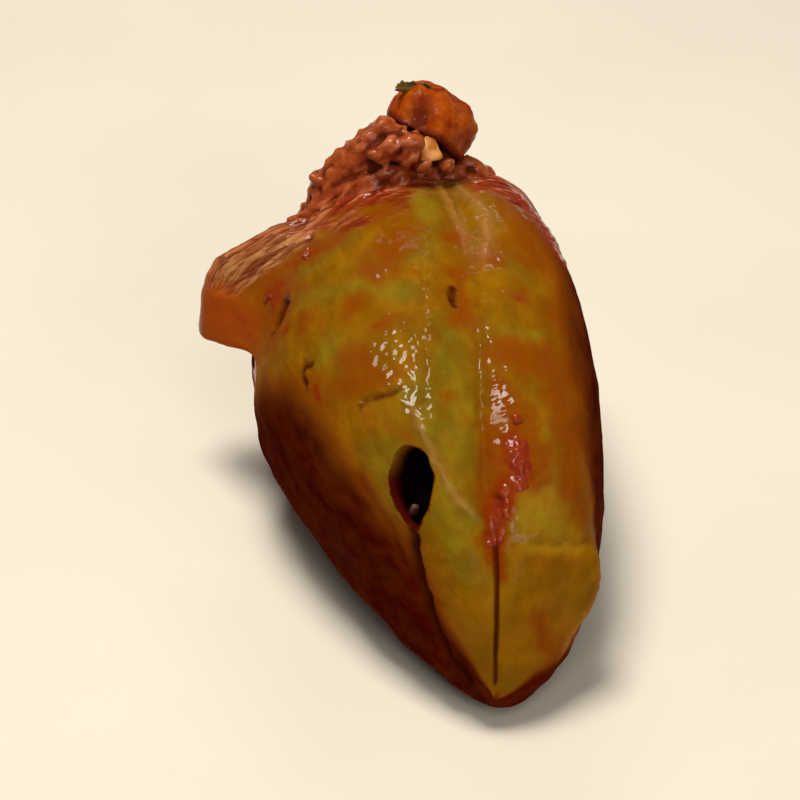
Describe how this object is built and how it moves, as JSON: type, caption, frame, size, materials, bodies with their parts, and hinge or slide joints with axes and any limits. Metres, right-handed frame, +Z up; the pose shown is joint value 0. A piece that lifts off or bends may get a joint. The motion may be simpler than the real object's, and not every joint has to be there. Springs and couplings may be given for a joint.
{
  "type": "stuffed pepper",
  "caption": "Cooked stuffed pepper lying on its side, its cut mouth heaped with minced meat, rice and onion, with a torn strip of wall leaning out beside the mouth.",
  "frame": {"origin": "on the plane that the pepper rests on, under the middle of its box", "axes": "+Y along the pepper from the blossom tip to the open mouth, +Z up"},
  "size_m": [0.0486, 0.0768, 0.0517],
  "materials": {
    "pepper_flesh": "wet and glossy, thinly glazed with tomato sauce",
    "mince_and_rice": "moist and crumbly",
    "stewed_onion": "wet and glossy",
    "tomato_sauce": "wet, thin and glossy"
  },
  "bodies": {
    "root": {"pepper_wall": "pepper_flesh", "filling": "mince_and_rice", "onion_petal": "stewed_onion"}
  },
  "joints": []
}
